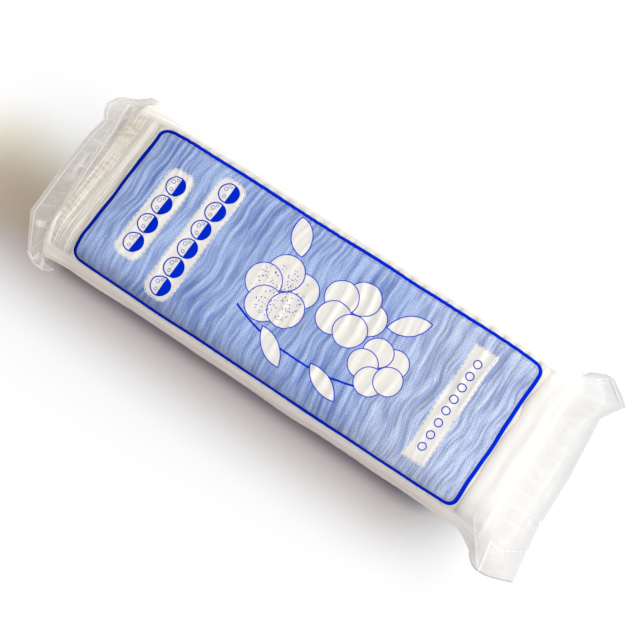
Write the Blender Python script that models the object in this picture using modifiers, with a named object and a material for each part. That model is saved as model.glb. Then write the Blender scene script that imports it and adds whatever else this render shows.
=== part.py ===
"""Zigzag cotton wool in its film pack.

One long web of cotton wool is folded to and fro into a block and closed in a thin film tube that is
welded flat at both ends. X runs along the pack, Y across it and Z up. The origin is the middle of the
pack's box, on the surface that it lies on. All sizes are in metres.
"""

import math

import bmesh
import bpy

# Folded web
PLY_PITCH = 0.0034
PLY_COUNT = 74
PLY_GAP = 0.0003
END_BOW = 0.0065

# Block of folds inside the film
BLOCK_WIDTH = 0.090
BLOCK_HEIGHT = 0.049
BLOCK_EDGE_RADIUS = 0.015
END_SLOPE_LENGTH = 0.038
END_DROP = 0.0060

# Film bag
FILM_WALL = 0.00006
FILM_CLEARANCE = 0.0004
FLANGE_LENGTH = 0.0144
WELD_WIDTH = 0.0026
WELD_HALF_GAP = 0.00005
LEFT_EAR_REACH = 0.0050
RIGHT_EAR_REACH = 0.0135
EAR_START = 0.0100
EAR_LENGTH = 0.0180
EAR_TOP_SHARE = 0.7
VENT_DIAMETER = 0.0030
VENT_FROM_MIDDLE = 0.060

# Steps that the curved stretches are drawn in
FOLD_SEGMENTS = 3
EDGE_SEGMENTS = 6
LEVEL_STEPS = 4
SLOPE_STEPS = 6
FLANGE_STEPS = 6
VENT_SEGMENTS = 16

WEB_THICKNESS = PLY_PITCH - PLY_GAP
FOLD_RADIUS = PLY_PITCH / 2
FOLD_RISE = (FOLD_RADIUS + WEB_THICKNESS / 2) * math.cos(math.pi / (2 * FOLD_SEGMENTS))
WEB_HALF_LENGTH = (PLY_COUNT - 1) * PLY_PITCH / 2
FILM_GAP = FILM_WALL + FILM_CLEARANCE
COVER_HALF_LENGTH = WEB_HALF_LENGTH + WEB_THICKNESS / 2 + FILM_GAP
LEVEL_HALF_LENGTH = COVER_HALF_LENGTH - END_SLOPE_LENGTH
SEAM_HALF_LENGTH = COVER_HALF_LENGTH + END_BOW + FLANGE_LENGTH
WELD_START = SEAM_HALF_LENGTH - WELD_WIDTH
SEAM_HALF_THICKNESS = WELD_HALF_GAP + FILM_WALL
BLOCK_MIDDLE = BLOCK_HEIGHT / 2
LOWEST_HALF_HEIGHT = BLOCK_MIDDLE - END_DROP

# The rounded edge leaves room at its foot for a whole fold, where the block is lowest
EDGE_RADIUS = min(BLOCK_EDGE_RADIUS, LOWEST_HALF_HEIGHT - FOLD_RADIUS)


def cover_half_height(x):
    """Half height of the film over the block, level in the middle and falling towards both ends."""
    past = max(0.0, min(abs(x), COVER_HALF_LENGTH) - LEVEL_HALF_LENGTH)
    return BLOCK_MIDDLE - END_DROP * (past / END_SLOPE_LENGTH) ** 2


def ply_stations():
    """Places across the web, and how far its folds are rounded down at each."""
    radius = EDGE_RADIUS - FILM_GAP - WEB_THICKNESS / 2
    level = BLOCK_WIDTH / 2 - EDGE_RADIUS
    half = [
        (level + radius * math.sin(turn), radius * (1 - math.cos(turn)))
        for turn in (0.0, math.pi / 4, math.pi / 2)
    ]
    return [(-y, fall) for y, fall in reversed(half)] + half


def fold_reach(x, fall):
    """Height over the middle at which a fold round x begins, low enough for its outer side too."""
    outer_side = abs(x) + PLY_PITCH
    return cover_half_height(outer_side) - fall - FILM_GAP - FOLD_RISE


def end_bow(x, fall):
    """How far a ply at x bulges past its folds at half height: most at the ends, least at the sides."""
    along = abs(x) / WEB_HALF_LENGTH
    share_of_height = fold_reach(x, fall) / fold_reach(x, 0.0)
    return math.copysign(END_BOW, x) * along**3 * share_of_height


def web_line(fall):
    """Middle line of the web at one place across it, as (x, z) points from its first end to its last."""
    points = []
    for ply in range(PLY_COUNT):
        x = ply * PLY_PITCH - WEB_HALF_LENGTH
        rises = 1 if ply % 2 == 0 else -1
        start = fold_reach(x - FOLD_RADIUS, fall)
        end = fold_reach(x + FOLD_RADIUS, fall)
        points.append((x, BLOCK_MIDDLE - rises * start))
        points.append((x + end_bow(x, fall), BLOCK_MIDDLE))
        points.append((x, BLOCK_MIDDLE + rises * end))
        if ply == PLY_COUNT - 1:
            break
        for step in range(1, FOLD_SEGMENTS):
            turn = math.pi * step / FOLD_SEGMENTS
            fold_x = x + FOLD_RADIUS * (1 - math.cos(turn))
            fold_z = end + FOLD_RADIUS * math.sin(turn)
            points.append((fold_x, BLOCK_MIDDLE + rises * fold_z))
    return points


def ear_share(x):
    """How far the tube's side crease has moved out at x, from none on the block to all at the ear."""
    past = (abs(x) - (COVER_HALF_LENGTH - EAR_START)) / EAR_LENGTH
    return min(1.0, max(0.0, past))


def block_section(x, inset):
    """Quarter of the rounded oblong round the block, from the film's side crease to its top.

    Each point is (y, z, share of the film's quarter length), and the crease is half a seam thick.
    """
    half_width = BLOCK_WIDTH / 2 - inset
    radius = EDGE_RADIUS - inset
    side = cover_half_height(x) - EDGE_RADIUS
    quarter = half_width - radius + radius * math.pi / 2 + side
    section = [(half_width, SEAM_HALF_THICKNESS - inset, 1.0)]
    for step in range(EDGE_SEGMENTS + 1):
        turn = math.pi / 2 * step / EDGE_SEGMENTS
        y = half_width - radius + radius * math.cos(turn)
        length = quarter - side - radius * turn
        section.append((y, side + radius * math.sin(turn), length / quarter))
    return section


def film_ring(x, ear_reach, inset):
    """Closed ring of the film at x: round the block, then flattened towards the weld past its end.

    The sides move out into the ears before the top comes down, which inset keeps at the film's wall.
    """
    seam_half_width = BLOCK_WIDTH / 2 + ear_reach - inset
    flat = max(0.0, abs(x) - COVER_HALF_LENGTH) / (WELD_START - COVER_HALF_LENGTH)
    early = max(0.0, ear_share(x) - flat)
    quarter = []
    for y, z, length in block_section(x, inset):
        spread = length * seam_half_width - y
        near_crease = max(0.0, length - EAR_TOP_SHARE) / (1 - EAR_TOP_SHARE)
        moved_y = y + spread * flat + max(0.0, spread) * early * near_crease
        quarter.append((moved_y, z + (SEAM_HALF_THICKNESS - inset - z) * flat))
    ring = [(x, y, BLOCK_MIDDLE + z) for y, z in quarter]
    ring += [(x, -y, BLOCK_MIDDLE + z) for y, z in reversed(quarter)]
    ring += [(x, -y, BLOCK_MIDDLE - z) for y, z in quarter]
    ring += [(x, y, BLOCK_MIDDLE - z) for y, z in reversed(quarter)]
    return ring


def bag_rings(inset, with_welds):
    """Rings of the whole bag from its left end to its right one, with or without the welded bands."""
    level = [LEVEL_HALF_LENGTH * (2 * step / LEVEL_STEPS - 1) for step in range(LEVEL_STEPS + 1)]
    outer = [
        LEVEL_HALF_LENGTH + END_SLOPE_LENGTH * step / SLOPE_STEPS
        for step in range(1, SLOPE_STEPS + 1)
    ]
    run = WELD_START - COVER_HALF_LENGTH
    outer += [COVER_HALF_LENGTH + run * step / FLANGE_STEPS for step in range(1, FLANGE_STEPS + 1)]
    rings = [film_ring(-x, LEFT_EAR_REACH, inset) for x in reversed(outer)]
    rings += [film_ring(x, RIGHT_EAR_REACH, inset) for x in level + outer]
    if with_welds:
        left_edge = [(-SEAM_HALF_LENGTH, y, z) for _, y, z in rings[0]]
        right_edge = [(SEAM_HALF_LENGTH, y, z) for _, y, z in rings[-1]]
        rings = [left_edge] + rings + [right_edge]
    return rings


def clear_scene():
    for old in list(bpy.data.objects):
        bpy.data.objects.remove(old, do_unlink=True)


def make_collection(name):
    collection = bpy.data.collections.new(name)
    bpy.context.scene.collection.children.link(collection)
    return collection


def make_material(name, colour, roughness, alpha=1.0):
    material = bpy.data.materials.new(name)
    material.use_nodes = True
    shader = material.node_tree.nodes["Principled BSDF"]
    shader.inputs["Base Color"].default_value = (*colour, 1.0)
    shader.inputs["Roughness"].default_value = roughness
    shader.inputs["Metallic"].default_value = 0.0
    shader.inputs["Alpha"].default_value = alpha
    return material


def add_object(name, bm, collection, material=None):
    """Object of a bmesh, with its faces pointing outwards where it is closed."""
    bmesh.ops.recalc_face_normals(bm, faces=bm.faces)
    mesh = bpy.data.meshes.new(name)
    bm.to_mesh(mesh)
    bm.free()
    made = bpy.data.objects.new(name, mesh)
    collection.objects.link(made)
    if material:
        mesh.materials.append(material)
    return made


def loft(rings):
    """Closed solid through rings that all have the same number of points."""
    bm = bmesh.new()
    rows = [[bm.verts.new(point) for point in ring] for ring in rings]
    count = len(rows[0])
    for row, following in zip(rows, rows[1:]):
        for i in range(count):
            j = (i + 1) % count
            bm.faces.new((row[i], row[j], following[j], following[i]))
    bm.faces.new(rows[0])
    bm.faces.new(list(reversed(rows[-1])))
    return bm


def make_cutter(name, bm, cutters):
    cutter = add_object(name, bm, cutters)
    cutter.hide_render = True
    cutter.display_type = "WIRE"
    return cutter


def cut(target, cutter, name):
    modifier = target.modifiers.new(name, "BOOLEAN")
    modifier.operation = "DIFFERENCE"
    modifier.solver = "EXACT"
    modifier.object = cutter


def make_cotton_web(parts):
    """The web as one open sheet that runs up and down through every fold, given its thickness."""
    bm = bmesh.new()
    columns = [
        [bm.verts.new((x, y, z)) for x, z in web_line(fall)] for y, fall in ply_stations()
    ]
    for column, following in zip(columns, columns[1:]):
        for i in range(len(column) - 1):
            bm.faces.new((column[i], column[i + 1], following[i + 1], following[i]))
    material = make_material("cotton_wool", (0.93, 0.91, 0.86), 0.95)
    web = add_object("cotton_web", bm, parts, material)
    wall = web.modifiers.new("Web thickness", "SOLIDIFY")
    wall.thickness = WEB_THICKNESS
    wall.offset = 0.0
    return web


def make_film_bag(parts, cutters):
    """The film tube round the block, drawn in flat at both ends and welded there."""
    material = make_material("printed_film", (0.62, 0.70, 0.88), 0.25, 0.6)
    bag = add_object("film_bag", loft(bag_rings(0.0, True)), parts, material)
    inside = make_cutter("bag_inside", loft(bag_rings(FILM_WALL, False)), cutters)
    cut(bag, inside, "Inside of the bag")

    bm = bmesh.new()
    bmesh.ops.create_cone(
        bm,
        cap_ends=True,
        segments=VENT_SEGMENTS,
        radius1=VENT_DIAMETER / 2,
        radius2=VENT_DIAMETER / 2,
        depth=FILM_CLEARANCE,
    )
    bmesh.ops.translate(bm, verts=bm.verts, vec=(VENT_FROM_MIDDLE, 0.0, 0.0))
    cut(bag, make_cutter("vent_hole", bm, cutters), "Vent hole")
    return bag


def main():
    clear_scene()
    parts = make_collection("zigzag_cotton_wool")
    cutters = make_collection("cutters")
    make_cotton_web(parts)
    make_film_bag(parts, cutters)


main()
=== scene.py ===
import math
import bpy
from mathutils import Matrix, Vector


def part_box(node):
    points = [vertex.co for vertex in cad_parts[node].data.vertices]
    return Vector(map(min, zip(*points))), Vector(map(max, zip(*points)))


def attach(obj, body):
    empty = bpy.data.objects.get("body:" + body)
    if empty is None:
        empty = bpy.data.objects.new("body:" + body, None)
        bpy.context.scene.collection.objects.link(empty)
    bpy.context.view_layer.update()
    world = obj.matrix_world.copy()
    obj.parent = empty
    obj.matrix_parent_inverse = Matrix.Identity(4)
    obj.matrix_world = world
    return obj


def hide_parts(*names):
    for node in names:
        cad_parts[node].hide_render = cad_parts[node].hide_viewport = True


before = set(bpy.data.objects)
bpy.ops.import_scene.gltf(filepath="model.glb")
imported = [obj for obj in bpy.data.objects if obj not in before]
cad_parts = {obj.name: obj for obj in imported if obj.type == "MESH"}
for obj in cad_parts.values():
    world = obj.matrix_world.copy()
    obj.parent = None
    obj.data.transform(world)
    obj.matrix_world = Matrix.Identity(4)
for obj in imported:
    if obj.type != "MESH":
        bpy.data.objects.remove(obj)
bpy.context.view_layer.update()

from types import SimpleNamespace

import bmesh
import bpy
from bpy.props import FloatProperty, FloatVectorProperty, IntProperty, PointerProperty
from mathutils import Vector, noise

bl_info = {
    "name": "Zigzag cotton wool pack",
    "version": (1, 0, 0),
    "blender": (4, 5, 0),
    "location": "View3D > Sidebar > Cotton pack",
    "description": "Folded web of cotton wool in a clear film bag with a blue printed panel",
    "category": "Object",
}

BAG_LOW, BAG_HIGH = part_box("film_bag")
MILLIMETRE = 0.001

# The weld at each end, from its near corner to its far one: film width from the middle, then x, y and z
LEFT_WELD = (
    (-0.0630, -0.1216, -0.0474, 0.0120),
    (-0.0585, -0.1232, -0.0503, 0.0125),
    (-0.0540, -0.1266, -0.0520, 0.0130),
    (-0.0490, -0.1325, -0.0520, 0.0140),
    (-0.0440, -0.1372, -0.0492, 0.0165),
    (-0.0400, -0.1404, -0.0437, 0.0190),
    (-0.0318, -0.1466, -0.0318, 0.0245),
    (0.0000, -0.1472, -0.0020, 0.0250),
    (0.0190, -0.1469, 0.0186, 0.0250),
    (0.0275, -0.1452, 0.0272, 0.0255),
    (0.0340, -0.1488, 0.0322, 0.0255),
    (0.0385, -0.1494, 0.0360, 0.0256),
    (0.0430, -0.1468, 0.0408, 0.0260),
    (0.0480, -0.1424, 0.0437, 0.0262),
    (0.0550, -0.1372, 0.0452, 0.0270),
    (0.0630, -0.1305, 0.0495, 0.0290),
)
RIGHT_WELD = (
    (-0.0630, 0.1504, -0.0525, 0.0225),
    (-0.0340, 0.1464, -0.0236, 0.0250),
    (-0.0320, 0.1457, -0.0222, 0.0255),
    (-0.0310, 0.1466, -0.0212, 0.0255),
    (0.0000, 0.1462, 0.0010, 0.0250),
    (0.0235, 0.1431, 0.0351, 0.0250),
    (0.0365, 0.1502, 0.0463, 0.0262),
    (0.0510, 0.1383, 0.0546, 0.0270),
    (0.0630, 0.1335, 0.0545, 0.0260),
)
HALF_WELD = 0.063

# How far the film flares at the block's corners and bulges at the ears, by (at the right end, side)
CORNER_FLARE = {(True, -1.0): 0.0095, (True, 1.0): 0.0065, (False, -1.0): 0.0035, (False, 1.0): 0.0040}
EAR_BULGE = {(True, -1.0): 0.004, (True, 1.0): -0.001, (False, -1.0): 0.0015, (False, 1.0): 0.0015}

# Creases of the loose film, seen from above: half width, then the points of each
CREASES = (
    (0.00085, ((-0.1232, -0.0420), (-0.1275, -0.0250), (-0.1324, 0.0), (-0.1362, 0.0250), (-0.1385, 0.0400))),
    (0.00035, ((-0.1262, -0.0400), (-0.1302, -0.0250), (-0.1352, 0.0), (-0.1390, 0.0250))),
    (
        0.00070,
        ((-0.1372, -0.0495), (-0.1350, -0.0517), (-0.1315, -0.0528), (-0.1277, -0.0518), (-0.1244, -0.0478)),
    ),
    (0.00050, ((-0.1372, -0.0490), (-0.1336, -0.0505), (-0.1298, -0.0477))),
    (
        0.00025,
        ((-0.1451, 0.0277), (-0.1481, 0.0303), (-0.1491, 0.0330), (-0.1480, 0.0357), (-0.1427, 0.0430)),
    ),
    (0.00025, ((-0.1427, 0.0430), (-0.1402, 0.0440), (-0.1349, 0.0430))),
    (0.00030, ((-0.1438, 0.0285), (-0.1460, 0.0311), (-0.1465, 0.0347))),
    (0.00035, ((0.1209, -0.0406), (0.1347, -0.0577))),
    (0.00045, ((0.1321, -0.0435), (0.1347, -0.0577))),
    (0.00022, ((0.1321, -0.0435), (0.1370, -0.0443), (0.1495, -0.0363))),
    (0.00025, ((0.1317, 0.0488), (0.1381, 0.0553), (0.1497, 0.0463))),
    (0.00025, ((0.1372, 0.0533), (0.1472, 0.0460))),
)
CREASE_HEIGHT = 0.0004

# Points of the web's path on each ply and round each fold, points across it, and squares of the bag's grid
PLY_STEPS = 5
FOLD_STEPS = 6
WEB_COLUMNS = 45
BAG_GRID = (400, 240)
WEB_TO_FILM = 0.0004

# The print, in millimetres of film. Windows: middle, half size and corner radius
WINDOWS = (
    ((-85.0, -4.4), (7.9, 26.0), 5.6),
    ((-61.5, -4.2), (7.8, 35.2), 5.6),
    ((83.8, -4.3), (6.3, 31.6), 0.6),
)
# Rows of discs: middle, how many and their spacing; the bubbles in each disc: place and radius
DISC_ROWS = (((-85.0, -4.4), 4, 11.4), ((-61.5, -4.2), 6, 11.2))
DISC_RADIUS = 4.9
BUBBLES = ((-2.3, 1.4, 0.95), (-1.1, -2.3, 0.75), (-0.9, 3.2, 0.6))
RING_ROW = ((83.8, -4.3), 8, 6.6)
RING_RADIUS = 1.9
# Leaves: middles of the two discs that a leaf lies between, and their radius
LEAVES = (
    ((-8.0, -37.0), (6.0, -18.0), 16.0),
    ((24.0, -39.0), (34.0, -17.5), 16.0),
    ((-26.0, 21.0), (-13.0, 29.5), 13.0),
    ((42.0, 24.0), (53.0, 9.5), 14.0),
)
# Bolls: middle, radius and the first lobe's angle
BOLLS = (((-12.5, -3.0), 14.5, 0.6), ((21.5, 7.0), 13.5, 0.2), ((47.0, -8.5), 11.5, 0.9))
LOBES = 5
HALFTONE_DEGREES = 21.5
INK_EDGE = 0.1
PANEL_EDGE = 0.12

# Colours of the field: painted highlight and painted shade along the folds, painted light towards the right
# end, and painted shade at the near side
FOLD_HIGHLIGHT_FIELD = (0.54, 0.67, 0.97)
FOLD_SHADE_FIELD = (0.08, 0.16, 0.46)
RIGHT_LIGHT_FIELD = (0.93, 0.93, 0.94)
SHADED_FIELD = (0.05, 0.08, 0.25)

# Colours of the film's own milkiness
BLOCK_VEIL = (0.93, 0.925, 0.915)
# Painted shade on the near flank
NEAR_FLANK_SHADE_VEIL = (0.83, 0.785, 0.745)
# Lit and shaded copies of the milkiness at the two ends: the right end's are darker to take back the lamp's
# stronger light there
LEFT_TIP_VEIL = (0.95, 0.93, 0.885)
RIGHT_TIP_VEIL = (0.880, 0.889, 0.906)
RIGHT_FAR_VEIL = (0.715, 0.73, 0.745)
RIGHT_NEAR_VEIL = (0.785, 0.797, 0.812)
# Painted shade over the last folds at the left end, and tan strokes of painted crumple shade
LAST_FOLDS_SHADE_VEIL = (0.90, 0.87, 0.81)
TAN_CRUMPLE_SHADE = (0.64, 0.56, 0.44)
# Painted highlight on creases, welds and fold lines
CREASE_HIGHLIGHT = (0.98, 0.975, 0.97)

# Warm painted shade of the cotton wool between its folds, in its pleats and in its ribs
VALLEY_SHADE_TAN = (0.76, 0.66, 0.49)
PLEAT_SHADE_TAN = (0.70, 0.60, 0.43)
RIB_SHADE_TAN = (0.76, 0.67, 0.51)

# Painted shadows on the floor as boxes seen from above, in metres: middle, half size and corner radius
LONG_SHADOW = ((-0.023, -0.0225), (0.109, 0.0225), 0.012)
LEFT_SHADOW = ((-0.155, -0.0287), (0.037, 0.0163), 0.014)
WARM_SHADOW = ((-0.161, -0.0150), (0.049, 0.0230), 0.014)
CONTACT_SHADOW = ((-0.016, 0.0), (0.116, 0.045), 0.012)
# Painted dark shade where the pack meets the floor
CONTACT_SHADE = (0.19, 0.155, 0.20)
# Painted warm tint of the shadow at the left end
SHADOW_WARMTH = (1.02, 1.00, 0.78)
# Painted glow that makes the floor white away from the pack; it is left out in the painted shadows
FLOOR_GLOW = (0.85, 1.0, 1.0, 1.0)
FLOOR_BELOW = 0.0002


def a_length(name, description, default):
    return FloatProperty(name=name, description=description, default=default, unit="LENGTH")


def a_colour(name, description, default):
    return FloatVectorProperty(name=name, description=description, default=default, subtype="COLOR")


class WebSettings(bpy.types.PropertyGroup):
    """Sizes and colour of the folded web of cotton wool."""

    pitch: a_length("Ply pitch", "Distance from one ply to the next", 0.0034)
    plies: IntProperty(name="Plies", description="How many times the web crosses the pack", default=74)
    thickness: a_length("Web thickness", "Thickness of the cotton wool", 0.0033)
    wander: a_length("Wander", "How far a fold strays from its line", 0.0024)
    end_bow: a_length("End bow", "How far the last plies bulge outwards", 0.0065)
    colour: a_colour("Cotton", "Colour of the cotton wool", (0.95, 0.935, 0.895))


class FilmSettings(bpy.types.PropertyGroup):
    """Sizes and finish of the film bag round the web."""

    width: a_length("Block width", "Width of the bag over the web", 0.090)
    height: a_length("Block height", "Height of the bag over the web", BAG_HIGH[2] - BAG_LOW[2])
    edge_radius: a_length("Edge radius", "Radius of the long rounded edges", 0.015)
    half_length: a_length("Half length", "From the middle to the block's end", 0.1261)
    slope: a_length("End slope", "Length over which the block falls", 0.038)
    drop: a_length("End drop", "How far the block falls at its ends", 0.006)
    flange: a_length("Flange", "Film from the block's end to the cut edge", 0.024)
    weld: a_length("Weld", "Width of the welded band", 0.0026)
    ripple: a_length("Ripple depth", "How deep the film dips between folds", 0.0011)
    haze: FloatProperty(
        name="Haze", description="How milky the clear film is", default=0.22, subtype="FACTOR"
    )
    tint: a_colour("Film", "Colour of the clear film", (0.84, 0.828, 0.808))


class PrintSettings(bpy.types.PropertyGroup):
    """Sizes and inks of the panel printed on the film's upper face."""

    left: a_length("Left edge", "Panel's left edge from the middle", -0.1089)
    right: a_length("Right edge", "Panel's right edge from the middle", 0.1108)
    near: a_length("Near edge", "Panel's near edge along the film", -0.0457)
    far: a_length("Far edge", "Panel's far edge along the film", 0.0368)
    corner: a_length("Corner radius", "Radius of the panel's corners", 0.0055)
    border: a_length("Border", "Width of the dark border", 0.0020)
    dot_pitch: a_length("Dot pitch", "Distance between the print's dots", 0.00105)
    deep_ink: a_colour("Deep ink", "Ink of the border and the motifs", (0.0, 0.020, 0.56))
    # The field is paler on a fold and darker over a groove: partly the white cotton behind the ink, partly
    # painted shade in the grooves
    crest_ink: a_colour("Field on folds", "Field's colour where it lies on a fold", (0.41, 0.56, 0.92))
    groove_shaded_ink: a_colour("Field in grooves", "Field's colour over a groove", (0.085, 0.175, 0.54))


class StageSettings(bpy.types.PropertyGroup):
    """Floor, lamp, even light and camera."""

    floor: a_colour("Floor", "Colour of the floor", (0.56, 0.499, 0.520))
    key_power: FloatProperty(
        name="Key power", description="Power of the large lamp", default=19.0, unit="POWER"
    )
    ambient: FloatProperty(
        name="Ambient", description="Strength of the even light all round", default=0.80
    )
    lens: FloatProperty(name="Lens", description="Focal length in millimetres", default=87.1875)


# Shape of the pack


def smooth_step(value):
    value = min(1.0, max(0.0, value))
    return value * value * (3 - 2 * value)


def wander(web, x, y):
    """How far the fold lines stray along the pack at a place on it."""
    slow = noise.noise(Vector((x * 11, y * 27, 4.1)))
    quick = noise.noise(Vector((x * 38, y * 60, 9.7)))
    short = noise.noise(Vector((x * 60, y * 115, 3.3)))
    lean = 0.30 * math.sin(y * 62 + x * 9)
    held = 1 - 0.75 * smooth_step((abs(x) - 0.106) / 0.016)
    return web.wander * held * (1.4 * slow + 1.25 * quick + 0.45 * short + lean)


def fold_place(web, x, y, above):
    """Where a place lies between two folds: 0 on a fold's crest and 1 in the groove to the next."""
    turn = (x + wander(web, x, y)) / (2 * web.pitch) + (0.0 if above else 0.5)
    return 2 * abs(turn - round(turn))


def swell(x, y):
    """Gentle rise and fall of the whole pack's upper face."""
    return 0.0006 * noise.noise(Vector((x * 21, y * 19, 2.9)))


def ripple(web, x, y, above=True):
    """How far the film dips below the folds at a place on the pack, as a share of the deepest dip."""
    across = fold_place(web, x, y, above)
    strength = 0.74 + 0.80 * noise.noise(Vector((x * 47, y * 43, 1.7)))
    strength = min(1.05, max(0.18, strength))
    groove = 1 - (1 - across) ** 2.0
    ends = smooth_step((abs(x) - 0.104) / 0.008)
    second = 0.62 + 1.5 * noise.noise(Vector((x * 44, y * 33, 5.5)))
    second = min(1.0, max(0.0, second + 0.5 * ends))
    groove -= second * 0.85 * max(0.0, 1 - (1 - across) / 0.46) ** 1.5
    fine = noise.noise(Vector((x * 520, y * 55, 6.3)))
    right_end = smooth_step((x - 0.106) / 0.008)
    left_end = smooth_step((-0.106 - x) / 0.008)
    calm = 1 - 0.30 * ends - 0.35 * right_end - 0.45 * left_end
    return strength * groove * calm + (0.08 + 0.16 * ends) * fine


def half_height(film, x):
    """Half height of the block, level in the middle and falling to both ends."""
    past = max(0.0, min(abs(x), film.half_length) - (film.half_length - film.slope))
    return film.height / 2 - film.drop * (past / film.slope) ** 2


def tuck(film, z):
    """Share of its width that the pack keeps at a height: a little less towards the floor."""
    return 1 - 0.026 * smooth_step((film.height / 2 - z) / 0.014)


def section(half_width, half, radius, share):
    """Point and outward direction on the block's rounded section, by share of the quarter from its top."""
    flat, bend, side = half_width - radius, radius * math.pi / 2, half - radius
    run = share * (flat + bend + side)
    if run <= flat:
        return run, half, 0.0, 1.0
    if run <= flat + bend:
        turn = (run - flat) / radius
        return flat + radius * math.sin(turn), side + radius * math.cos(turn), math.sin(turn), math.cos(turn)
    return half_width, side - (run - flat - bend), 1.0, 0.0


def along_weld(line, width):
    """Point of a weld at a film width from its middle."""
    for start, end in zip(line, line[1:]):
        if width <= end[0]:
            break
    share = (width - start[0]) / (end[0] - start[0])
    return Vector(start[1:]).lerp(Vector(end[1:]), share)


def distance_to_line(x, y, line):
    """Distance from a place to a line, seen from above."""
    nearest = 1.0
    for (ax, ay), (bx, by) in zip(line, line[1:]):
        dx, dy = bx - ax, by - ay
        share = max(0.0, min(1.0, ((x - ax) * dx + (y - ay) * dy) / (dx * dx + dy * dy)))
        nearest = min(nearest, math.hypot(x - ax - share * dx, y - ay - share * dy))
    return nearest


def facets(x, y, salt):
    """Crumpled film as flat facets that meet at straight lines: its height, and how near a crease is."""
    nearest, _ = noise.voronoi(Vector((x * 38 + y * 22, y * 125 - x * 30, salt)))
    edge = nearest[1] - nearest[0]
    return edge - 0.3, max(0.0, 1 - edge / 0.14)


def spread(place, knee, middle, end):
    """Place on a grid from -1 to 1, as a length that reaches middle at the knee and end at 1."""
    size = abs(place)
    length = size / knee * middle if size <= knee else middle + (size - knee) / (1 - knee) * (end - middle)
    return math.copysign(length, place)


def loose_film(film, point, run, side, share, above):
    """Where a point of the block's end goes in the loose film, and how creased the film is there."""
    right = run > 0
    up = 1.0 if above else -1.0
    middle = film.height / 2
    past = (abs(run) - film.half_length) / film.flange
    weld = along_weld(RIGHT_WELD if right else LEFT_WELD, side * share * HALF_WELD)
    to_weld = min(1.0, past / (1 - film.weld / film.flange))
    fall = (1 - to_weld) ** (2.1 if above else 2.6)
    bulge = math.sin(math.pi * past**0.75) * share**6 * EAR_BULGE[(right, side)]
    x = point.x + (weld.x - point.x) * past
    y = point.y + (weld.y - point.y) * past ** (1 - 0.35 * share**4) + side * bulge
    z = middle + (weld.z - middle) * past + (point.z - middle) * fall
    loose = smooth_step(to_weld * 2.5) * smooth_step((1 - to_weld) * 5)
    if right:
        loose *= 0.55
    elif side > 0:
        loose *= 1 - smooth_step((share - 0.62) / 0.15)
    height, creased = facets(x, y, 3.3 if above else 8.8)
    drift = noise.noise(Vector((x * 60, y * 60, 5.0 if above else 7.0)))
    z += up * loose * (0.0013 * height + 0.0010 * drift + 0.0008) + up * 0.00006
    z += 0.0011 * noise.noise(Vector((run * 10, y * 24, 2.2))) * smooth_step(past * 1.6)
    creased *= loose * (0.35 + 0.65 * noise.noise(Vector((x * 90, y * 90, 4.0))) ** 2 * 4)
    return Vector((x, y, z)), creased * (0.25 if right else 1.0)


def film_point(web, film, run, turn):
    """A bag point, its place on the film, how near a fold and how creased it is, and the fold's count."""
    side = 1.0 if turn >= 0 else -1.0
    above = abs(turn) <= 0.5
    share = abs(turn) * 2 if above else (1 - abs(turn)) * 2
    up = 1.0 if above else -1.0
    x = max(-film.half_length, min(film.half_length, run))
    y, z, out_y, out_z = section(film.width / 2, half_height(film, x), film.edge_radius, share)
    flare = smooth_step((abs(run) - film.half_length + 0.014) / 0.022) * share**7
    y += CORNER_FLARE[(run > 0, side)] * flare
    z = film.height / 2 + up * z
    point = Vector((x, side * y * tuck(film, z), z))
    outward = Vector((0.0, side * out_y, up * out_z))
    quarter = film.width / 2 - film.edge_radius * (1 - math.pi / 2) + film.height / 2 - film.edge_radius
    dip = ripple(web, x, side * y, above)
    touch = min(1.0, max(0.0, 1 - dip))
    phase = (x + wander(web, x, side * y)) / (2 * web.pitch)
    on_side = smooth_step((share - 0.41) / 0.24)
    dip *= 1 - 0.88 * on_side if above else 0.15
    depth = film.ripple * dip - (swell(x, side * y) * (1 - on_side) if above else 0.0)
    slack = noise.noise(Vector((x * 26, side * share * 7, 8.2 if above else 3.1)))
    depth -= 0.0012 * on_side * max(0.0, slack)
    past = max(0.0, (abs(run) - film.half_length) / film.flange)
    point -= outward * depth * (1 - past)
    creased = 0.0
    if past > 0:
        point, creased = loose_film(film, point, run, side, share, above)
    if above and abs(run) > film.half_length - 0.012:
        for half, line in CREASES:
            away = distance_to_line(point.x, point.y, line)
            if away < 3 * half:
                point.z += CREASE_HEIGHT * math.exp(-((away / half) ** 2))
    point.z = max(point.z, 0.00004)
    on_film = Vector((run, side * (share if above else 2 - share) * quarter))
    return point, on_film, touch, min(1.0, creased), phase


# Shader building blocks


def put(tree, socket, value):
    if isinstance(value, bpy.types.NodeSocket):
        tree.links.new(value, socket)
    else:
        socket.default_value = value


def filled(tree, node, values):
    """A node whose first inputs have these values."""
    for socket, value in zip(node.inputs, values):
        put(tree, socket, value)
    return node


def made(tree, kind, **inputs):
    """A new node whose inputs of these names have these values."""
    node = tree.nodes.new("ShaderNode" + kind)
    for name, value in inputs.items():
        put(tree, node.inputs[name.replace("_", " ")], value)
    return node


def maths(tree, operation, *values, clamp=False):
    node = made(tree, "Math")
    node.operation = operation
    node.use_clamp = clamp
    return filled(tree, node, values).outputs[0]


def vector_maths(tree, operation, *values):
    node = made(tree, "VectorMath")
    node.operation = operation
    return filled(tree, node, values).outputs


def stretched(tree, place, factors):
    """A place drawn out by a factor along each axis."""
    return vector_maths(tree, "MULTIPLY", place, factors)[0]


def axes(tree, place):
    """X and Y of a place."""
    parts = made(tree, "SeparateXYZ", Vector=place).outputs
    return parts["X"], parts["Y"]


def attribute(tree, name):
    """Value that the mesh's points keep under a name."""
    node = made(tree, "Attribute")
    node.attribute_name = name
    return node.outputs["Fac"]


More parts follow.
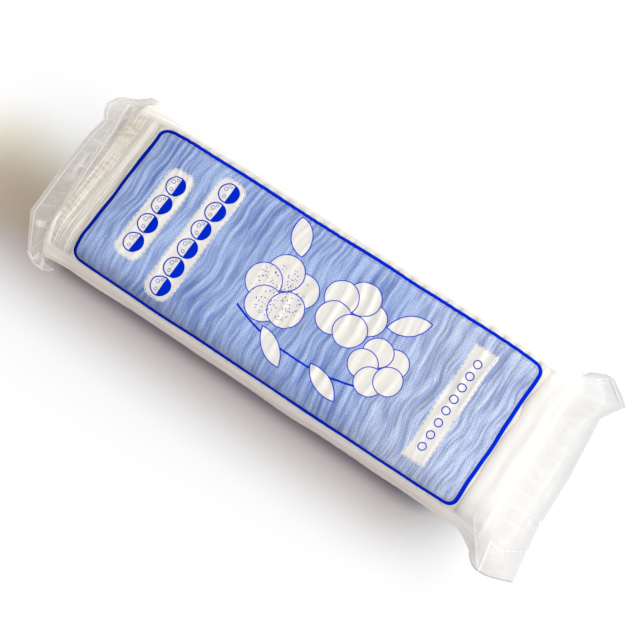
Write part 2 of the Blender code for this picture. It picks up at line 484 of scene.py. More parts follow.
def mapped(tree, place, scale, rotation=(0.0, 0.0, 0.0)):
    return made(tree, "Mapping", Vector=place, Scale=scale, Rotation=rotation).outputs[0]


def noise_at(tree, place, scale, detail, output="Fac", **more):
    return made(tree, "TexNoise", Vector=place, Scale=scale, Detail=detail, **more).outputs[output]


def ramp(tree, value, start, end, first, last):
    """A value that goes softly from first at the start to last at the end."""
    node = made(tree, "MapRange")
    node.interpolation_type = "SMOOTHSTEP"
    return filled(tree, node, (value, start, end, first, last)).outputs["Result"]


def below(tree, value, limit, soft):
    """1 where a value is under a limit, with a soft edge."""
    return ramp(tree, value, limit - soft, limit + soft, 1.0, 0.0)


def outside(tree, value):
    return maths(tree, "SUBTRACT", 1.0, value, clamp=True)


def over(tree, value, limit, soft):
    """1 where a value is over a limit, with a soft edge."""
    return outside(tree, below(tree, value, limit, soft))


def within(tree, value, half, soft):
    """1 where a value is less than half a width away from nought."""
    return below(tree, maths(tree, "ABSOLUTE", value), half, soft)


def both(tree, first, second):
    return maths(tree, "MULTIPLY", first, second)


def either(tree, first, second):
    return maths(tree, "MAXIMUM", first, second)


def span(tree, along, across):
    """Length of a step along and across."""
    squares = [maths(tree, "POWER", part, 2.0) for part in (along, across)]
    return maths(tree, "SQRT", maths(tree, "ADD", *squares))


def mix_colour(tree, share, first, second):
    node = made(tree, "Mix")
    node.data_type = "RGBA"
    put(tree, node.inputs["Factor"], share)
    for name, colour in (("A", first), ("B", second)):
        put(tree, node.inputs[name], colour if isinstance(colour, bpy.types.NodeSocket) else (*colour, 1.0))
    return node.outputs["Result"]


def tinted(colour, shares):
    return tuple(part * share for part, share in zip(colour, shares))


def layered(tree, colour, *layers):
    """A colour with others laid over it, each by its share."""
    for share, layer in layers:
        colour = mix_colour(tree, share, colour, layer)
    return colour


def distance_group(name, socket_type, inputs, build):
    """Node group that gives a distance, made once from what build does with its inputs."""
    group = bpy.data.node_groups.get(name)
    if group:
        return group
    group = bpy.data.node_groups.new(name, "ShaderNodeTree")
    for each in inputs:
        group.interface.new_socket(each, in_out="INPUT", socket_type=socket_type)
    group.interface.new_socket("Distance", in_out="OUTPUT", socket_type="NodeSocketFloat")
    given = group.nodes.new("NodeGroupInput").outputs
    result = group.nodes.new("NodeGroupOutput")
    group.links.new(build(group, given), result.inputs["Distance"])
    return group


def grouped(tree, group, values):
    node = made(tree, "Group")
    node.node_tree = group
    return filled(tree, node, values).outputs["Distance"]


def box_distance(group, given):
    sides = []
    for place, middle, half in (
        ("Along", "Middle along", "Half along"),
        ("Across", "Middle across", "Half across"),
    ):
        away = maths(group, "ABSOLUTE", maths(group, "SUBTRACT", given[place], given[middle]))
        core = maths(group, "SUBTRACT", given[half], given["Radius"])
        sides.append(maths(group, "SUBTRACT", away, core))
    length = span(group, *(maths(group, "MAXIMUM", side, 0.0) for side in sides))
    inner = maths(group, "MINIMUM", maths(group, "MAXIMUM", *sides), 0.0)
    return maths(group, "SUBTRACT", maths(group, "ADD", length, inner), given["Radius"])


def rounded_box(tree, place, middle, half, radius):
    """Distance to a rounded box, negative inside it."""
    inputs = ("Along", "Across", "Middle along", "Middle across", "Half along", "Half across", "Radius")
    group = distance_group("Rounded box", "NodeSocketFloat", inputs, box_distance)
    return grouped(tree, group, (*place, *middle, *half, radius))


def line_distance(group, given):
    offset = vector_maths(group, "SUBTRACT", given["Place"], given["Start"])[0]
    along = vector_maths(group, "DOT_PRODUCT", offset, given["Reach"])["Value"]
    square = vector_maths(group, "DOT_PRODUCT", given["Reach"], given["Reach"])["Value"]
    share = maths(group, "DIVIDE", along, square, clamp=True)
    foot = vector_maths(group, "SCALE", given["Reach"])[0]
    group.links.new(share, foot.node.inputs["Scale"])
    return vector_maths(group, "DISTANCE", offset, foot)["Value"]


def crease_lines(tree):
    """1 on the creases of the loose film, which are given as seen from above."""
    spot = made(tree, "TexCoord").outputs["Object"]
    plan = stretched(tree, spot, (1 / MILLIMETRE, 1 / MILLIMETRE, 0.0))
    group = distance_group("Straight line", "NodeSocketVector", ("Place", "Start", "Reach"), line_distance)
    found = 0.0
    for half, line in CREASES:
        nearest = 1000.0
        points = [(x / MILLIMETRE, y / MILLIMETRE, 0.0) for x, y in line]
        for start, end in zip(points, points[1:]):
            reach = [last - first for first, last in zip(start, end)]
            nearest = maths(tree, "MINIMUM", nearest, grouped(tree, group, (plan, start, reach)))
        half /= MILLIMETRE
        found = either(tree, found, below(tree, nearest, half, max(0.25, half)))
    return found


def disc(tree, where, middle, radius):
    """Distance to a disc on the film, in millimetres, negative inside it."""
    away = vector_maths(tree, "DISTANCE", where, (*middle, 0.0))["Value"]
    return maths(tree, "SUBTRACT", away, radius)


def new_material(name):
    material = bpy.data.materials.new(name)
    material.use_nodes = True
    material.node_tree.nodes.clear()
    return material, material.node_tree


def surface(tree, shader):
    made(tree, "OutputMaterial", Surface=shader)


def solid_shader(tree, colour, relief, strength, depth, **finish):
    """Shader of a solid with a fine relief, and a finish given by its inputs' names."""
    normal = made(tree, "Bump", Height=relief, Strength=strength, Distance=depth).outputs[0]
    return made(tree, "BsdfPrincipled", Base_Color=colour, Normal=normal, **finish).outputs[0]


# Print on the film


def halftone(tree, place, pitch):
    """Height of the print's dots, from 0 between them to 1 in their middles."""
    rate, turn = 2 * math.pi / pitch, math.radians(HALFTONE_DEGREES)
    waves = []
    for along, across in ((math.cos(turn), math.sin(turn)), (-math.sin(turn), math.cos(turn))):
        phase = maths(tree, "MULTIPLY", place[1], across * rate)
        phase = maths(tree, "MULTIPLY_ADD", place[0], along * rate, phase)
        waves.append(maths(tree, "SINE", phase))
    return maths(tree, "MULTIPLY_ADD", maths(tree, "ADD", *waves), 0.25, 0.5)


def mark_cells(tree, place, middle, count, step):
    """Place along and across in each cell of a row of marks, and 1 inside the row."""
    along, across = middle
    shift = maths(tree, "ADD", place[1], -across + step * count / 2)
    cell = maths(tree, "SUBTRACT", maths(tree, "WRAP", shift, step, 0.0), step / 2)
    inside = within(tree, maths(tree, "SUBTRACT", place[1], across), step * count / 2, 0.05)
    return maths(tree, "SUBTRACT", place[0], along), cell, inside


def window_marks(tree, place):
    """Rows of half dark discs in the two long windows, and of rings in the narrow one."""
    away, cell, inside = mark_cells(tree, place, *RING_ROW)
    ring = within(tree, maths(tree, "SUBTRACT", span(tree, away, cell), RING_RADIUS), 0.28, INK_EDGE)
    marks = both(tree, inside, ring)
    for row in DISC_ROWS:
        away, cell, inside = mark_cells(tree, place, *row)
        length = span(tree, away, cell)
        lines = within(tree, maths(tree, "SUBTRACT", length, DISC_RADIUS), 0.32, INK_EDGE)
        dark = both(tree, below(tree, length, DISC_RADIUS, INK_EDGE), over(tree, away, 0.6, INK_EDGE))
        for along, across, radius in BUBBLES:
            there = span(tree, maths(tree, "SUBTRACT", away, along), maths(tree, "SUBTRACT", cell, across))
            bubble = within(tree, maths(tree, "SUBTRACT", there, radius), 0.12, INK_EDGE)
            lines = either(tree, lines, bubble)
        marks = either(tree, marks, both(tree, inside, either(tree, lines, dark)))
    return marks


def laid_over(tree, shape, half, lines, white):
    """Inked lines and white areas with one more outlined white shape over them."""
    body = below(tree, shape, 0.0, INK_EDGE)
    outline = within(tree, shape, half, INK_EDGE)
    return either(tree, outline, both(tree, lines, outside(tree, body))), either(tree, body, white)


def boll_spray(tree, where, place):
    """A spray of cotton bolls and leaves on a curved stem: its inked lines and its white areas."""
    stem = within(tree, disc(tree, where, (12.0, 80.0), 106.0), 0.5, 0.12)
    lines = both(tree, within(tree, maths(tree, "SUBTRACT", place[0], 15.0), 41.0, INK_EDGE), stem)
    white = 0.0
    for first, second, radius in LEAVES:
        leaf = either(tree, disc(tree, where, first, radius), disc(tree, where, second, radius))
        lines, white = laid_over(tree, leaf, 0.26, lines, white)
    for (along, across), radius, start in BOLLS:
        for step in range(LOBES):
            angle = start + 2 * math.pi * step / LOBES
            out = 0.66 * radius
            middle = (along + out * math.cos(angle), across + out * math.sin(angle))
            lines, white = laid_over(tree, disc(tree, where, middle, radius * 0.62), 0.24, lines, white)
    specks = made(tree, "TexVoronoi", Vector=where, Scale=0.75)
    speckled = both(tree, below(tree, disc(tree, where, BOLLS[0][0], 14.0), 0.0, 1.5), white)
    specks = both(tree, speckled, below(tree, specks.outputs["Distance"], 0.24, 0.06))
    return either(tree, lines, specks), white


def film_print(tree, sheet, where):
    """Masks of the printed panel, by millimetres of film: ink cover, deep ink and white windows."""
    place = axes(tree, where)
    left, right, near, far, corner, border, pitch = (
        getattr(sheet, name) / MILLIMETRE
        for name in ("left", "right", "near", "far", "corner", "border", "dot_pitch")
    )
    middle = ((left + right) / 2, (near + far) / 2)
    half = ((right - left) / 2, (far - near) / 2)
    panel = rounded_box(tree, place, middle, half, corner)
    edge = both(tree, below(tree, panel, 0.0, PANEL_EDGE), over(tree, panel, -border, PANEL_EDGE))
    field = below(tree, panel, -border - 0.25, PANEL_EDGE)
    inner_line = over(tree, panel, -border - 1.2, INK_EDGE)
    inner_line = both(tree, below(tree, panel, -border - 0.75, INK_EDGE), inner_line)
    dots = halftone(tree, place, pitch)
    uneven = maths(tree, "MULTIPLY_ADD", noise_at(tree, where, 1.15, 1.0), 0.5, -0.25)

    first, second, narrow = (rounded_box(tree, place, *window) for window in WINDOWS)
    window = maths(tree, "MINIMUM", maths(tree, "MINIMUM", first, second), narrow)
    window = maths(tree, "MULTIPLY_ADD", dots, 0.3, window)
    window_edge = within(tree, maths(tree, "ADD", window, 0.55), 0.28, INK_EDGE)
    window_edge = both(tree, window_edge, below(tree, dots, 0.5, INK_EDGE))
    lines, white = boll_spray(tree, where, place)
    open_field = both(tree, over(tree, window, 0.0, PANEL_EDGE), outside(tree, white))

    dotted = maths(tree, "ADD", maths(tree, "MULTIPLY_ADD", dots, 0.46, 0.57), uneven, clamp=True)
    cover = both(tree, both(tree, field, open_field), dotted)
    cover = both(tree, cover, outside(tree, maths(tree, "MULTIPLY", inner_line, 0.55)))
    deep = either(tree, edge, both(tree, field, either(tree, window_marks(tree, place), lines)))
    cover = either(tree, cover, deep)
    cover = either(tree, cover, maths(tree, "MULTIPLY", both(tree, field, window_edge), 0.8))
    return cover, deep, both(tree, field, outside(tree, open_field))


# Materials


def film_zones(tree, film, flat, where):
    """Parts of the bag as masks, from places in millimetres of film."""
    along, across = axes(tree, flat)
    reach = maths(tree, "ABSOLUTE", along)
    end = film.half_length / MILLIMETRE
    weld_start = end + (film.flange - film.weld) / MILLIMETRE
    cut_edge = end + film.flange / MILLIMETRE
    on_left = below(tree, along, 0.0, 1.0)
    loose = over(tree, reach, end + 1.0, 4.0)
    flank = over(tree, maths(tree, "ABSOLUTE", maths(tree, "ADD", across, 3.9)), 42.5, 3.5)
    top = outside(tree, flank)

    # The clear strip at the left end: painted highlight lines along the folds, and tan strokes of painted
    # crumple shade across the last ones
    strip = both(tree, top, both(tree, below(tree, along, -110.8, 0.8), outside(tree, loose)))
    lines = noise_at(tree, stretched(tree, where, (0.80, 0.022, 0.0)), 1.0, 2.0)
    strokes = noise_at(tree, stretched(tree, where, (0.15, 0.50, 0.0)), 1.0, 2.0)
    last_folds = both(tree, below(tree, along, -119.0, 2.5), over(tree, along, -129.0, 2.5))
    last_folds = both(tree, last_folds, top)
    return SimpleNamespace(
        along=along,
        across=across,
        on_left=on_left,
        on_right=outside(tree, on_left),
        loose=loose,
        flank=flank,
        tips=over(tree, reach, end - 13.0, 5.5),
        weld_band=over(tree, reach, weld_start, 0.15),
        weld_line=within(tree, maths(tree, "SUBTRACT", reach, weld_start), 0.35, 0.20),
        cut_line=within(tree, maths(tree, "SUBTRACT", reach, cut_edge - 0.2), 0.25, 0.15),
        facet_edges=attribute(tree, "Fold"),
        creases=crease_lines(tree),
        last_folds=last_folds,
        lines=both(tree, strip, over(tree, lines, 0.53, 0.06)),
        strokes=both(tree, last_folds, over(tree, strokes, 0.53, 0.09)),
    )


def both_ends(tree, zone, left, right):
    """A strength that differs between the pack's two ends."""
    return maths(tree, "MULTIPLY_ADD", zone.on_right, right - left, left)


def milkiness(tree, film, zone, flat, pale):
    """How much of what is behind it the unprinted film hides; creases, fold lines and the left weld and cut
    lines hide more, as painted highlights, and the film hides more edge on, as a painted reflection.
    """
    milky = maths(tree, "MULTIPLY_ADD", zone.facet_edges, 0.40, maths(tree, "MULTIPLY", pale, 0.50))
    fog = noise_at(tree, flat, 0.16, 2.0)
    even = both_ends(tree, zone, 0.0, 0.36)
    even = maths(tree, "MULTIPLY_ADD", fog, both_ends(tree, zone, 0.54, 0.12), even)
    milky = maths(tree, "ADD", both(tree, zone.loose, even), milky)
    streaks = noise_at(tree, stretched(tree, flat, (0.03, 0.9, 0.0)), 1.0, 2.0)
    sheer = both(tree, zone.flank, maths(tree, "MULTIPLY_ADD", streaks, 0.5, 0.38))
    shroud = either(tree, sheer, both(tree, zone.tips, both_ends(tree, zone, 0.27, 0.50)))
    milky = maths(tree, "ADD", both(tree, shroud, outside(tree, zone.loose)), milky)
    # Painted highlights: more milky colour on creases, fold lines and the left weld and cut lines
    for mask, left, right in (
        (zone.creases, 0.78, 0.22),
        (zone.lines, 0.28, 0.28),
        (zone.last_folds, 0.22, 0.22),
        (zone.weld_band, 0.10, 0.0),
        (zone.weld_line, 0.90, 0.0),
        (zone.cut_line, 0.45, 0.0),
    ):
        milky = maths(tree, "MULTIPLY_ADD", mask, both_ends(tree, zone, left, right), milky)
    # Painted reflection: more milky colour where the film is seen edge on
    edge_on = made(tree, "LayerWeight", Blend=0.35)
    gloss = maths(tree, "MULTIPLY", edge_on.outputs["Facing"], 0.20)
    return maths(tree, "ADD", maths(tree, "ADD", milky, film.haze), gloss)


def ink_colour(tree, sheet, zone, deep):
    """Colour of the print: a field that varies with the folds, with painted highlight and shade lines along
    them, painted light towards the right end and painted shade at the near side, and the deep ink with
    painted shade at the left end.
    """
    # Paler on a fold and darker over a groove: partly the white cotton behind the ink, partly painted shade
    # in the grooves
    field = mix_colour(tree, attribute(tree, "Touch"), tuple(sheet.groove_shaded_ink), tuple(sheet.crest_ink))
    # Painted highlight and painted shade lines along the folds, stronger towards the right end
    turns = maths(tree, "MULTIPLY", attribute(tree, "Turn"), 4.4)
    drawn = made(tree, "CombineXYZ", X=turns, Y=maths(tree, "MULTIPLY", zone.across, 0.055))
    fold_streaks = noise_at(tree, drawn.outputs[0], 1.0, 2.0)
    # Painted light: the field paler towards the right end
    toward_right = over(tree, zone.along, 51.0, 17.0)
    light = both(tree, over(tree, fold_streaks, 0.56, 0.07), maths(tree, "MULTIPLY_ADD", toward_right, 0.36, 0.36))
    dark = both(tree, below(tree, fold_streaks, 0.43, 0.06), maths(tree, "MULTIPLY_ADD", toward_right, 0.28, 0.46))
    # Painted shade at the near side's left half
    shade = both(tree, below(tree, zone.across, -40.5, 6.0), below(tree, zone.along, 0.0, 70.0))
    field = layered(
        tree,
        field,
        (light, FOLD_HIGHLIGHT_FIELD),
        (dark, FOLD_SHADE_FIELD),
        (maths(tree, "MULTIPLY", toward_right, 0.20), RIGHT_LIGHT_FIELD),
        (maths(tree, "MULTIPLY", shade, 0.62), SHADED_FIELD),
    )
    # Painted shade: the deep ink darker at the left end and at the near side
    shade = either(tree, maths(tree, "MULTIPLY", shade, 0.5), below(tree, zone.along, -92.0, 15.0))
    shaded_ink = tinted(sheet.deep_ink, (0.40, 0.40, 0.40))
    deep_ink = mix_colour(tree, maths(tree, "MULTIPLY", shade, 0.7), tuple(sheet.deep_ink), shaded_ink)
    return mix_colour(tree, deep, field, deep_ink)


def veil_colour(tree, film, zone):
    """Colour of the unprinted film's milkiness, with painted shade on the near flank and the last folds, lit
    and shaded copies at the two ends, tan strokes of painted crumple shade and painted highlights.
    """
    # Darker veil at the right end: painted shade that takes back the lamp's stronger light there
    right = mix_colour(tree, below(tree, zone.across, 0.0, 45.0), RIGHT_FAR_VEIL, RIGHT_NEAR_VEIL)
    # Painted shade on the near flank
    shaded_near_flank = both(tree, below(tree, zone.across, -48.5, 2.5), below(tree, zone.along, 106.0, 12.0))
    # Painted highlights on creases, facet edges, fold lines and the left weld
    ridges = both(tree, zone.creases, both_ends(tree, zone, 1.0, 0.45))
    painted_highlights = either(tree, both(tree, zone.on_left, zone.weld_line), either(tree, ridges, zone.facet_edges))
    painted_highlights = either(tree, painted_highlights, maths(tree, "MULTIPLY", zone.lines, 0.6))
    return layered(
        tree,
        BLOCK_VEIL,
        (shaded_near_flank, NEAR_FLANK_SHADE_VEIL),
        (zone.tips, mix_colour(tree, zone.on_right, LEFT_TIP_VEIL, RIGHT_TIP_VEIL)),
        (zone.loose, mix_colour(tree, zone.on_right, tuple(film.tint), right)),
        # Painted shade over the last folds and tan strokes of painted crumple shade
        (zone.last_folds, LAST_FOLDS_SHADE_VEIL),
        (maths(tree, "MULTIPLY", zone.strokes, 0.62), TAN_CRUMPLE_SHADE),
        (painted_highlights, CREASE_HIGHLIGHT),
    )


def film_material(film, sheet):
    """Thin clear film, a little milky, with the printed panel and its creases."""
    material, tree = new_material("Printed clear film")
    uv = made(tree, "UVMap")
    uv.uv_map = "Film"
    flat = stretched(tree, uv.outputs["UV"], (1 / MILLIMETRE,) * 3)
    stray = noise_at(tree, flat, 0.045, 1.0, output="Color")
    stray = vector_maths(tree, "SUBTRACT", stray, (0.5, 0.5, 0.5))[0]
    where = vector_maths(tree, "MULTIPLY_ADD", stray, (1.9, 0.7, 0.0), flat)[0]
    cover, deep, pale = film_print(tree, sheet, where)
    zone = film_zones(tree, film, flat, where)
    solid = maths(tree, "MAXIMUM", milkiness(tree, film, zone, flat, pale), cover, clamp=True)
    inked = maths(tree, "DIVIDE", cover, maths(tree, "MAXIMUM", solid, 0.01), clamp=True)
    colour = mix_colour(tree, inked, veil_colour(tree, film, zone), ink_colour(tree, sheet, zone, deep))
    relief = noise_at(tree, stretched(tree, flat, (1.0, 0.28, 1.0)), 0.9, 4.0)
    specular = maths(tree, "MULTIPLY", outside(tree, deep), 0.22)
    finish = {"Roughness": 0.26, "IOR": 1.49, "Specular IOR Level": specular}
    clear = made(tree, "BsdfTransparent").outputs[0]
    film_shader = solid_shader(tree, colour, relief, 0.35, 0.0003, **finish)
    mix = filled(tree, made(tree, "MixShader"), (solid, clear, film_shader))
    surface(tree, mix.outputs[0])
    return material


def cotton_material(web):
    """Soft matte cotton wool: loose fibres and small tufts, with warm painted shade in its grooves, pleats
    and rib troughs.
    """
    material, tree = new_material("Cotton wool")
    spot = made(tree, "TexCoord").outputs["Object"]
    along, _ = axes(tree, spot)
    tufts = noise_at(tree, spot, 260.0, 5.0, Roughness=0.65)
    fibres = mapped(tree, spot, (1.0, 0.18, 1.0), (0.3, 0.5, 0.4))
    fibres = noise_at(tree, fibres, 1500.0, 3.0, Distortion=1.2)
    layers = noise_at(tree, mapped(tree, spot, (820.0, 95.0, 240.0)), 1.0, 3.0)
    pleats = noise_at(tree, mapped(tree, spot, (120.0, 410.0, 170.0)), 1.0, 3.0, Distortion=0.8)
    ribs = made(tree, "TexWave", Vector=spot, Scale=165.0, Distortion=7.0, Detail=1.5, Detail_Scale=0.45)

    left_end = below(tree, along, -0.1125, 0.0045)
    right_end = over(tree, along, 0.1085, 0.002)
    pleated = both(tree, below(tree, along, -0.1175, 0.0045), over(tree, pleats, 0.51, 0.07))
    ribbed = either(tree, left_end, maths(tree, "MULTIPLY", right_end, 0.6))
    troughs = both(tree, ribbed, outside(tree, ribs.outputs["Fac"]))
    warm = tinted(web.colour, (0.86, 0.80, 0.69))
    mottle = maths(tree, "MULTIPLY_ADD", tufts, 0.5, maths(tree, "MULTIPLY", layers, 0.9), clamp=True)
    shade = maths(tree, "MULTIPLY_ADD", right_end, -0.08, 0.20)
    shade = maths(tree, "MULTIPLY_ADD", left_end, -0.04, shade)
    # Painted warm shade between the folds, in the pleats and in the rib troughs
    colour = layered(
        tree,
        mix_colour(tree, mottle, warm, tuple(web.colour)),
        (both(tree, attribute(tree, "Valley"), shade), VALLEY_SHADE_TAN),
        (maths(tree, "MULTIPLY", pleated, 0.52), PLEAT_SHADE_TAN),
        (maths(tree, "MULTIPLY", troughs, 0.26), RIB_SHADE_TAN),
    )
    relief = maths(tree, "MULTIPLY", fibres, 0.4)
    for height, share in ((tufts, 0.8), (layers, 1.0), (pleated, -0.7), (troughs, -0.9)):
        relief = maths(tree, "MULTIPLY_ADD", height, share, relief)
    finish = {"Roughness": 0.95, "Specular IOR Level": 0.15}
    surface(tree, solid_shader(tree, colour, relief, 0.7, 0.0010, **finish))
    return material


def seen_by_eye(tree):
    """1 for what the eye sees straight, in a mirror or through glass."""
    path = made(tree, "LightPath").outputs
    through = either(tree, path["Is Glossy Ray"], path["Is Transmission Ray"])
    return either(tree, path["Is Camera Ray"], through)


def floor_material(stage):
    """Matte floor made white by a painted glow away from the pack, with painted shadows near it: a warm one
    at the left end and a dark contact shade.
    """
    material, tree = new_material("White floor")
    plan = axes(tree, made(tree, "TexCoord").outputs["Object"])
    boxes = (LONG_SHADOW, LEFT_SHADOW, WARM_SHADOW, CONTACT_SHADOW)
    long, left, warm_shadow_box, contact = (rounded_box(tree, plan, *box) for box in boxes)
    # Painted shadow: the glow is nought in the long and left shadow boxes and grows to full away from them
    far = ramp(tree, maths(tree, "MINIMUM", long, left), -0.012, 0.042, 0.0, 0.50)
    glow = made(tree, "Emission", Color=FLOOR_GLOW, Strength=both(tree, seen_by_eye(tree), far))
    # Painted warm shadow at the left end and painted dark shade where the pack meets the floor
    colour = layered(
        tree,
        tuple(stage.floor),
        (below(tree, warm_shadow_box, 0.004, 0.014), tinted(stage.floor, SHADOW_WARMTH)),
        (below(tree, contact, 0.0005, 0.005), CONTACT_SHADE),
    )
    matte = made(tree, "BsdfDiffuse", Color=colour)
    total = filled(tree, made(tree, "AddShader"), (matte.outputs[0], glow.outputs[0]))
    surface(tree, total.outputs[0])
    return material


# Pieces


def finish_piece(name, bm, material):
    """Object of a bmesh at the origin, smooth, in its material."""
    mesh = bpy.data.meshes.new(name)
    bm.to_mesh(mesh)
    bm.free()
    mesh.shade_smooth()
    mesh.materials.append(material)
    made = bpy.data.objects.new(name, mesh)
    bpy.context.scene.collection.objects.link(made)
    return made


class COTTONPACK_OT_web(bpy.types.Operator):
    """Add the long web of cotton wool, folded to and fro"""

    bl_idname = "cottonpack.web"
    bl_label = "Cotton web"

    def path(self, web, film, y, fall):
        """Middle line of the web at one place across it: x, z and how deep in the fold, from end to end."""
        rise = web.pitch / 2 + web.thickness / 2
        middle = film.height / 2
        points = []
        for ply in range(web.plies):
            x = (ply - (web.plies - 1) / 2) * web.pitch
            up = 1 if ply % 2 == 0 else -1
            sunk = WEB_TO_FILM + 0.0005 * abs(noise.noise(Vector((x * 90, y * 45, 1.1))))
            tall = half_height(film, abs(x) + web.pitch) - fall - rise - sunk
            along = abs(x) / ((web.plies - 1) / 2 * web.pitch)
            crumple = 0.0011 * smooth_step((along - 0.90) / 0.08)
            for step in range(PLY_STEPS):
                share = 2 * step / (PLY_STEPS - 1) - 1
                bow = math.copysign(web.end_bow, x) * along**3 * (1 - share * share)
                bow *= 1 + (7 * y if x < 0 else 0)
                sway = 0.0003 * noise.noise(Vector((x * 200, y * 80, share * 2)))
                sway += crumple * noise.noise(Vector((x * 90, y * 230, share * 3)))
                lift = swell(x, y) if up * share > 0.4 else 0.0
                if up * share > 0.9:
                    lift -= film.ripple * ripple(web, x, y)
                points.append((x + bow + sway - wander(web, x, y), middle + up * share * tall + lift, 1.0))
            if ply == web.plies - 1:
                break
            square = 0.55 - 0.22 * smooth_step((-0.104 - x) / 0.010)
            for step in range(1, FOLD_STEPS + 1):
                turn = math.pi * step / (FOLD_STEPS + 1)
                across, high = abs(math.cos(turn)) ** square, math.sin(turn) ** square
                fold_x = x + web.pitch / 2 * (1 - math.copysign(across, math.cos(turn)))
                lift = swell(fold_x, y) - film.ripple * ripple(web, fold_x, y) if up > 0 else 0.0
                dent = crumple * min(0.0, noise.noise(Vector((fold_x * 130, y * 240, 7.7)))) * 1.6
                high = tall + web.pitch / 2 * high + dent
                valley = abs(2 * step / (FOLD_STEPS + 1) - 1)
                points.append((fold_x - wander(web, fold_x, y), middle + up * high + lift, valley))
        return points

    def execute(self, context):
        web, film = context.scene.cotton_web, context.scene.film_bag
        rows = web.plies * (PLY_STEPS + FOLD_STEPS) - FOLD_STEPS
        radius = film.edge_radius - WEB_TO_FILM - web.thickness / 2
        level = film.width / 2 - film.edge_radius
        half_width = level + radius * math.pi / 2
        bm = bmesh.new()
        bmesh.ops.create_grid(bm, x_segments=rows - 1, y_segments=WEB_COLUMNS - 1, size=1.0)
        paths = []
        for column in range(WEB_COLUMNS):
            run = (2 * column / (WEB_COLUMNS - 1) - 1) * half_width
            y, fall = abs(run), 0.0
            if y > level:
                turn = (y - level) / radius
                y, fall = level + radius * math.sin(turn), radius * (1 - math.cos(turn))
            y = math.copysign(y, run)
            paths.append((y, self.path(web, film, y, fall)))
        valley = bm.verts.layers.float.new("Valley")
        for vert in bm.verts:
            row = round((vert.co.x + 1) / 2 * (rows - 1))
            y, points = paths[round((vert.co.y + 1) / 2 * (WEB_COLUMNS - 1))]
            x, z, vert[valley] = points[row]
            y *= tuck(film, z)
            ragged = 0.0007 * noise.noise(Vector((x * 150, z * 170, y)))
            ragged *= smooth_step((abs(y) - 0.036) / 0.008)
            vert.co = (x, y + math.copysign(ragged, y), z)
        bmesh.ops.recalc_face_normals(bm, faces=bm.faces)
        piece = finish_piece("cotton_wool_web", bm, cotton_material(web))
        wall = piece.modifiers.new("Web thickness", "SOLIDIFY")
        wall.thickness = web.thickness
        wall.offset = 0.0
        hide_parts("cotton_web")
        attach(piece, "root")
        points = paths[WEB_COLUMNS // 2][1]
        return {"FINISHED"}


class COTTONPACK_OT_film(bpy.types.Operator):
    """Add the film bag round the web, with its welds, ears and print"""

    bl_idname = "cottonpack.film"
    bl_label = "Film bag"

    def execute(self, context):
        scene = context.scene
        web, film, sheet = scene.cotton_web, scene.film_bag, scene.film_print
        along, round_it = BAG_GRID
        bm = bmesh.new()
        bmesh.ops.create_grid(bm, x_segments=along, y_segments=round_it, size=1.0, calc_uvs=True)
        layers = [bm.verts.layers.float.new(name) for name in ("Touch", "Fold", "Turn")]
        on_film = {}
        for vert in bm.verts:
            run = spread(vert.co.x, 0.70, film.half_length, film.half_length + film.flange)
            turn = spread(vert.co.y, 0.66, 0.5, 1.0)
            vert.co, on_film[vert.index], *marks = film_point(web, film, run, turn)
            for layer, mark in zip(layers, marks):
                vert[layer] = mark
        uv = bm.loops.layers.uv.verify()
        for face in bm.faces:
            for loop in face.loops:
                loop[uv].uv = on_film[loop.vert.index].xy
        bmesh.ops.remove_doubles(bm, verts=[v for v in bm.verts if v.is_boundary], dist=0.00013)
        bmesh.ops.recalc_face_normals(bm, faces=bm.faces)
        piece = finish_piece("printed_film_bag", bm, film_material(film, sheet))
        piece.data.uv_layers[0].name = "Film"
        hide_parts("film_bag")
        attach(piece, "root")
        return {"FINISHED"}


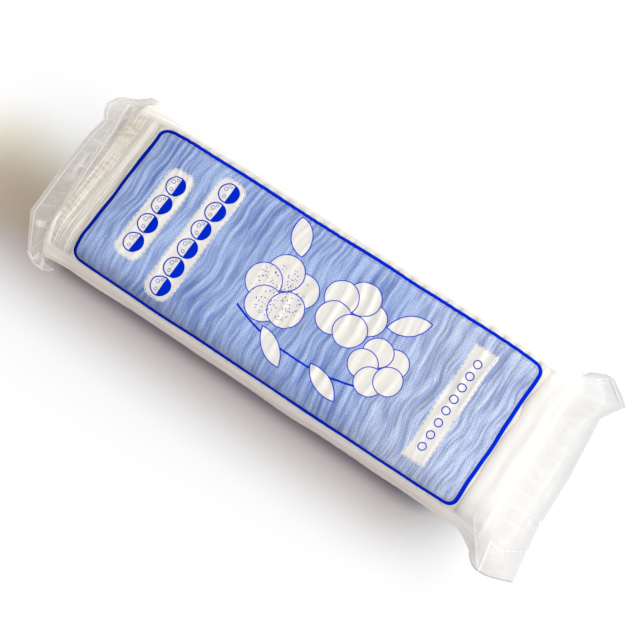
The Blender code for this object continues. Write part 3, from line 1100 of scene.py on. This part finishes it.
class COTTONPACK_OT_stage(bpy.types.Operator):
    """Add the floor, the lamp, the even light and the camera"""

    bl_idname = "cottonpack.stage"
    bl_label = "Stage"

    def add_lamp(self, power):
        place = Vector((1.094, 0.565, 0.776))
        data = bpy.data.lights.new("Key lamp", "AREA")
        data.shape = "RECTANGLE"
        data.size = 2.15
        data.size_y = 0.35
        data.energy = power
        data.color = (1.0, 1.0, 0.995)
        lamp = bpy.data.objects.new("Key lamp", data)
        lamp.location = place
        lamp.rotation_euler = (Vector((0.0, 0.0, 0.02)) - place).to_track_quat("-Z", "Y").to_euler()
        bpy.context.scene.collection.objects.link(lamp)

    def add_even_light(self, scene, ambient):
        world = bpy.data.worlds.new("Plain studio")
        scene.world = world
        world.use_nodes = True
        tree = world.node_tree
        tree.nodes.clear()
        seen = seen_by_eye(tree)
        colour = mix_colour(tree, seen, (1.0, 0.96, 0.915), (1.0, 1.0, 1.0))
        strength = maths(tree, "MULTIPLY_ADD", seen, 1 - ambient, ambient)
        glow = made(tree, "Background", Color=colour, Strength=strength)
        made(tree, "OutputWorld", Surface=glow.outputs[0])

    def add_camera(self, scene, lens):
        data = bpy.data.cameras.new("Camera")
        data.lens = lens
        data.sensor_width = 36.0
        data.clip_start, data.clip_end = 0.01, 20.0
        camera = bpy.data.objects.new("Camera", data)
        camera.location = (0.159212, -0.161322, 0.739085)
        camera.rotation_euler = tuple(math.radians(part) for part in (17.1754, 2.6702, 34.6918))
        scene.collection.objects.link(camera)
        scene.camera = camera

    def execute(self, context):
        scene, stage = context.scene, context.scene.pack_stage
        bm = bmesh.new()
        bmesh.ops.create_grid(bm, x_segments=1, y_segments=1, size=3.0)
        bmesh.ops.translate(bm, verts=bm.verts, vec=(0, 0, -FLOOR_BELOW))
        finish_piece("floor", bm, floor_material(stage))
        self.add_lamp(stage.key_power)
        self.add_even_light(scene, stage.ambient)
        self.add_camera(scene, stage.lens)
        scene.view_settings.view_transform = "Standard"
        return {"FINISHED"}


class COTTONPACK_PT_panel(bpy.types.Panel):
    """Sizes, colours and pieces of the cotton wool pack"""

    bl_label = "Cotton pack"
    bl_idname = "COTTONPACK_PT_panel"
    bl_space_type = "VIEW_3D"
    bl_region_type = "UI"
    bl_category = "Cotton pack"

    def draw(self, context):
        for title, group, operator in (
            ("Web", context.scene.cotton_web, "cottonpack.web"),
            ("Film", context.scene.film_bag, "cottonpack.film"),
            ("Print", context.scene.film_print, None),
            ("Stage", context.scene.pack_stage, "cottonpack.stage"),
        ):
            box = self.layout.box()
            box.label(text=title)
            for name in group.__annotations__:
                box.prop(group, name)
            if operator:
                box.operator(operator)


SETTINGS = {
    "cotton_web": WebSettings,
    "film_bag": FilmSettings,
    "film_print": PrintSettings,
    "pack_stage": StageSettings,
}
CLASSES = (
    *SETTINGS.values(),
    COTTONPACK_OT_web,
    COTTONPACK_OT_film,
    COTTONPACK_OT_stage,
    COTTONPACK_PT_panel,
)


def register():
    for each in CLASSES:
        bpy.utils.register_class(each)
    for name, group in SETTINGS.items():
        setattr(bpy.types.Scene, name, PointerProperty(type=group))


def unregister():
    for name in SETTINGS:
        delattr(bpy.types.Scene, name)
    for each in reversed(CLASSES):
        bpy.utils.unregister_class(each)


def main():
    register()
    bpy.ops.cottonpack.web()
    bpy.ops.cottonpack.film()
    bpy.ops.cottonpack.stage()


if __name__ == "__main__":
    main()
